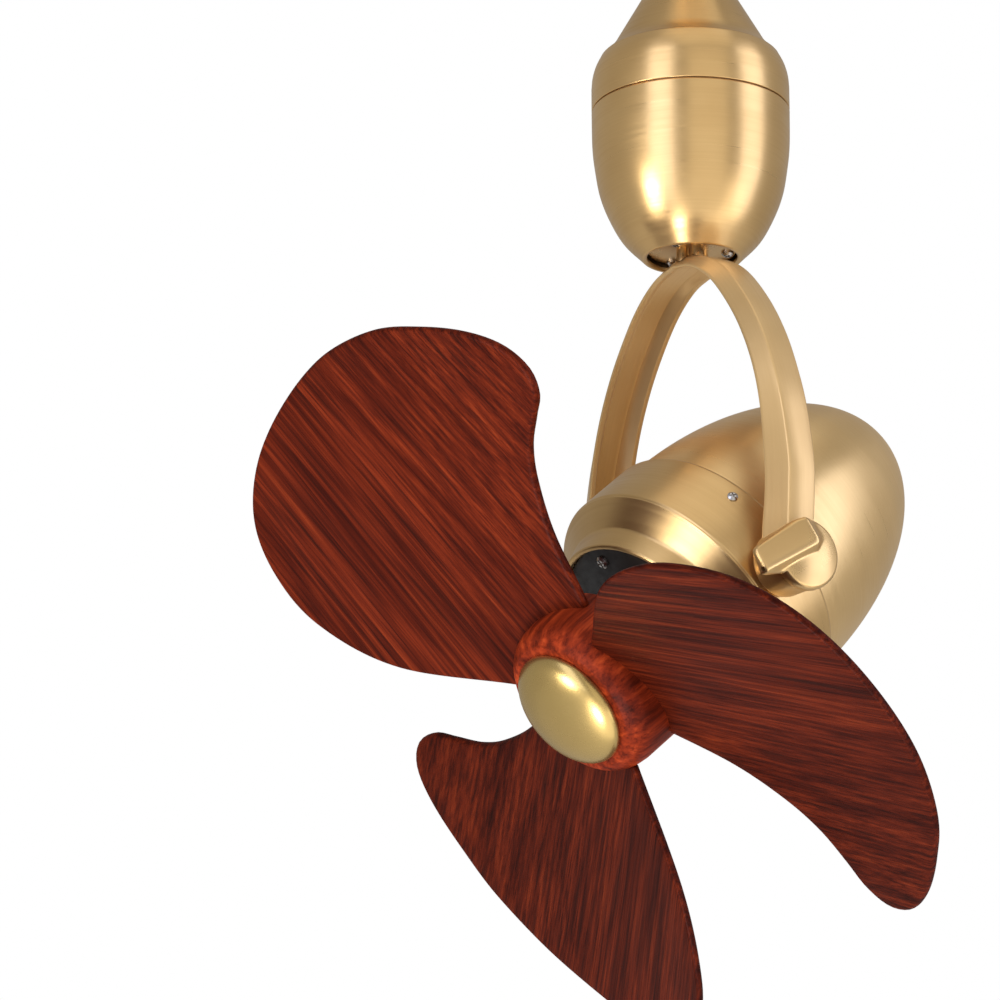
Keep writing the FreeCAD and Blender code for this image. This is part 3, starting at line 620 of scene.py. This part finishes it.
# ---- knobs ----
KNOB_SEAT = 87.8              # inner face of a knob from the head's axis, mm
KNOB_R = 16.5
KNOB_LOW = math.radians(-20)            # the plan leaves the round body at this angle
KNOB_HIGH = math.radians(76)            # and meets it again at this one
KNOB_UNDER = math.radians(-80.9)        # direction that the lower side of the nose faces
KNOB_UNDER_REACH = 6.95                 # and how far out that side is, mm
KNOB_CORNER = 22              # the higher, the sharper the corners of the nose in plan
KNOB_EDGE = 1.6               # rounding of the outer edge, mm
KNOB_TIP = 0.15               # radius of the small face in the middle, mm
KNOB_RIM = 3.6                # least height of the outer face, mm
KNOB_LIFT = 1.6               # the underside of the nose above the seat, mm
KNOB_TURNS = 300
KNOB_RINGS = 60
KNOB_SHARP = 60.0             # edges that turn more than this stay sharp, degrees
NOSE_REACH = 27.8
GRIP_DROP = 23.0              # nose of the grip below the horizontal, degrees
GRUB_R = 1.25                 # grub screw's hole, along the nose, mm
GRUB_FROM = 12
GRUB_TO = 30
GRUB_HEIGHT = 5.2             # the hole's axis above the seat, mm
DRILL_SEGMENTS = 24


def knob_outline(angle):
    """Radius of the knob's plan, mm: a round body drawn out on one side to a blunt nose."""
    if not KNOB_LOW < angle < KNOB_HIGH:
        return KNOB_R
    limits = (KNOB_R / math.cos(KNOB_HIGH - angle), NOSE_REACH / max(math.cos(angle), 0.2),
              KNOB_UNDER_REACH / max(math.cos(angle - KNOB_UNDER), 0.1))
    return max(sum(limit ** -KNOB_CORNER for limit in limits) ** (-1 / KNOB_CORNER), KNOB_R)


def softly(value, width):
    """value where it is positive, else 0, with a rounded corner."""
    return 0.5 * (value + math.sqrt(value * value + width * width))


def knob_height(x, y):
    """Outer surface of the knob, mm: a low dome under a thumb grip that is steep on its lower side."""
    dome = 8.1 - 0.010 * (x * x + y * y)
    foot = 2.4 - 0.15 * x
    above = softly(y - foot - 2.6, 1.2)
    below = softly(foot - y, 0.9)
    back = softly(-3.2 - x, 0.8)
    grip = 12.3 - 0.155 * (x + 3.0) - 0.30 * above - 1.35 * below - 1.1 * back
    return 0.5 * (dome + grip + math.sqrt((dome - grip) ** 2 + 0.8)) - 0.3


def make_knob_mesh(bm, side):
    """Adds a knob on the plane z = 0, outer face up; side, 1 or -1, mirrors its plan."""
    angles = [2 * math.pi * k / KNOB_TURNS - math.pi for k in range(KNOB_TURNS)]
    reaches = [knob_outline(a) for a in angles]
    rows = []

    def add_row(points):
        rows.append([bm.verts.new((r * math.cos(a) * MM, side * r * math.sin(a) * MM, z * MM))
                     for a, (r, z) in zip(angles, points)])

    def face_point(angle, reach, share):
        """Radius and height of the outer face, at a share of the way to its rounded edge."""
        r = max(share * reach, KNOB_TIP)
        near = max(r - reach + KNOB_EDGE, 0.0) / KNOB_EDGE
        drop = KNOB_EDGE * (1 - math.sqrt(max(1 - near * near, 0.0)))
        return r, max(knob_height(r * math.cos(angle), r * math.sin(angle)) - drop, KNOB_RIM)

    for i in range(KNOB_RINGS + 1):
        share = (i / KNOB_RINGS) ** 0.8
        add_row([face_point(a, reach, share) for a, reach in zip(angles, reaches)])

    # side wall, from the rim down to the underside, which is lifted off the seat along the nose
    tops = [vert.co.z / MM for vert in rows[-1]]
    lifts = [min((reach - KNOB_R) / 3.0, 1.0) for reach in reaches]
    unders = [KNOB_LIFT * lift for lift in lifts]
    for height in (0.75, 0.45, 0.2):
        add_row([(reach, under + (top - under) * height) for reach, under, top in zip(reaches, unders, tops)])
    for inwards in (0.5, 0.8):
        add_row([(reach - inwards, under + 0.4 * (0.8 - inwards)) for reach, under in zip(reaches, unders)])

    # underside, seat and bore
    add_row([(16.2, 1.4 * lift) for lift in lifts])
    for radius, z in ((15.7, 0.1), (15.5, 0.0), (4.4, 0.0), (4.05, 0.3), (4.05, 7.2)):
        add_row([(radius, z)] * KNOB_TURNS)
    skin(bm, rows)


def drill(bm, place):
    """Cuts the grub screw's hole into the knob's nose."""
    objects = []
    tool = bmesh.new()
    hole = [(0, GRUB_FROM), (GRUB_R, GRUB_FROM), (GRUB_R, GRUB_TO), (0, GRUB_TO)]
    revolve(tool, hole, DRILL_SEGMENTS, place)
    bmesh.ops.recalc_face_normals(tool, faces=tool.faces)
    bmesh.ops.recalc_face_normals(bm, faces=bm.faces)
    for source in (bm, tool):
        mesh = bpy.data.meshes.new("drilling")
        source.to_mesh(mesh)
        obj = bpy.data.objects.new("drilling", mesh)
        bpy.context.scene.collection.objects.link(obj)
        objects.append(obj)
    cut = objects[0].modifiers.new("cut", "BOOLEAN")
    cut.object = objects[1]
    cut.operation = "DIFFERENCE"
    cut.solver = "EXACT"
    bpy.context.view_layer.update()
    drilled = bpy.data.meshes.new_from_object(objects[0].evaluated_get(bpy.context.evaluated_depsgraph_get()))
    bm.clear()
    bm.from_mesh(drilled)
    tool.free()
    for obj in objects:
        bpy.data.objects.remove(obj)


def make_knobs():
    along_nose = Matrix.Translation((0, 0, GRUB_HEIGHT * MM)) @ Matrix.Rotation(math.radians(90), 4, "Y")
    for name, sign in (("knob_right", 1), ("knob_left", -1)):
        bm = bmesh.new()
        make_knob_mesh(bm, -sign)
        drill(bm, along_nose)
        place = Matrix.Translation((sign * KNOB_SEAT * MM, 0, PIVOT * MM))
        place = place @ Matrix.Rotation(math.radians(sign * 90), 4, "Y")
        place = place @ Matrix.Rotation(math.radians(sign * GRIP_DROP - 90), 4, "Z")
        finished(name + "_brass", bm, place, brass_cast, name, [name], KNOB_SHARP)


# ---- stage ----
LAMP_TARGET = Vector((0, 0, -0.42))     # m
COOL = (0.90, 1.0, 1.35)
FLOOR_R = 6000                # mm
FLOOR_THICK = 20              # mm
FLOOR_HEIGHT = -2.4           # m
FLOOR_SEGMENTS = 64
FLOOR_GLOW = 0.12
BACKDROP = 1.0                # strength of the backdrop that the camera sees
AMBIENT = 0.38                # strength of the light all round


def softbox(name, towards, elevation, distance, width, height, power, shape="RECTANGLE", colour=WHITE):
    """Large lamp, placed by its angle to the right of the camera as seen from the fan, and facing the fan;
    degrees, m and W."""
    flat = Vector((-CAMERA_VIEW.x, -CAMERA_VIEW.y, 0)).normalized()
    side = Vector((CAMERA_RIGHT.x, CAMERA_RIGHT.y, 0)).normalized()
    a, e = math.radians(towards), math.radians(elevation)
    direction = (flat * math.cos(a) + side * math.sin(a)) * math.cos(e) + Vector((0, 0, math.sin(e)))
    data = bpy.data.lights.new(name, "AREA")
    data.shape = shape
    data.color = colour
    data.size = width
    data.size_y = height
    data.energy = power
    lamp = bpy.data.objects.new(name, data)
    bpy.context.scene.collection.objects.link(lamp)
    lamp.location = LAMP_TARGET + direction * distance
    lamp.rotation_euler = direction.to_track_quat("Z", "Y").to_euler()
    lamp.visible_camera = False


def make_floor():
    bm = bmesh.new()
    revolve(bm, [(0, 0), (FLOOR_R, 0), (FLOOR_R, -FLOOR_THICK), (0, -FLOOR_THICK)], FLOOR_SEGMENTS)
    mesh = bpy.data.meshes.new("floor")
    bm.to_mesh(mesh)
    bm.free()
    floor = bpy.data.objects.new("floor", mesh)
    floor.location = (0, 0, FLOOR_HEIGHT)
    bpy.context.scene.collection.objects.link(floor)
    pale = plain("pale_floor", (0.90, 0.90, 0.89), 0.0, 0.9, 3.0, shade=0.97)
    glow = pale.node_tree.nodes["Principled BSDF"].inputs
    glow["Emission Color"].default_value = (*WHITE, 1)
    glow["Emission Strength"].default_value = FLOOR_GLOW
    mesh.materials.append(pale)


def make_world():
    """White for the camera, and a dimmer light on the fan from all round."""
    world = bpy.data.worlds.new("studio")
    bpy.context.scene.world = world
    world.use_nodes = True
    tree = world.node_tree
    backdrop = tree.nodes["Background"]
    backdrop.inputs["Color"].default_value = (*WHITE, 1)
    backdrop.inputs["Strength"].default_value = BACKDROP
    ambient = tree.nodes.new("ShaderNodeBackground")
    ambient.inputs["Color"].default_value = (1, 0.99, 0.97, 1)
    ambient.inputs["Strength"].default_value = AMBIENT
    path = tree.nodes.new("ShaderNodeLightPath")
    mix = tree.nodes.new("ShaderNodeMixShader")
    tree.links.new(path.outputs["Is Camera Ray"], mix.inputs[0])
    tree.links.new(ambient.outputs[0], mix.inputs[1])
    tree.links.new(backdrop.outputs[0], mix.inputs[2])
    tree.links.new(mix.outputs[0], tree.nodes["World Output"].inputs["Surface"])


def make_lamps():
    softbox("strip_left", -37, 8, 2.6, 1.3, 3.6, 27, colour=COOL)
    softbox("strip_right", 74, 8, 2.6, 1.4, 3.6, 29, colour=COOL)
    softbox("front", 18, 0, 2.6, 2.2, 3.6, 13)
    softbox("top", 20, 70, 2.4, 2.0, 2.0, 8)
    softbox("low", 10, -72, 1.8, 2.4, 2.0, 13)
    softbox("low_right", 64, -30, 2.2, 1.2, 0.9, 5)
    softbox("round_side", -58, -20, 1.9, 0.6, 0.6, 15, "DISK")
    softbox("round_low", -31, -63, 1.75, 0.6, 0.6, 15, "DISK")


make_camera()
dress_cad_nodes()
make_housing()
make_arch()
make_eyes()
make_head()
for blade, degrees in BLADES.items():
    make_blade(blade, degrees)
make_hub()
make_knobs()
make_floor()
make_world()
make_lamps()

bpy.context.view_layer.update()
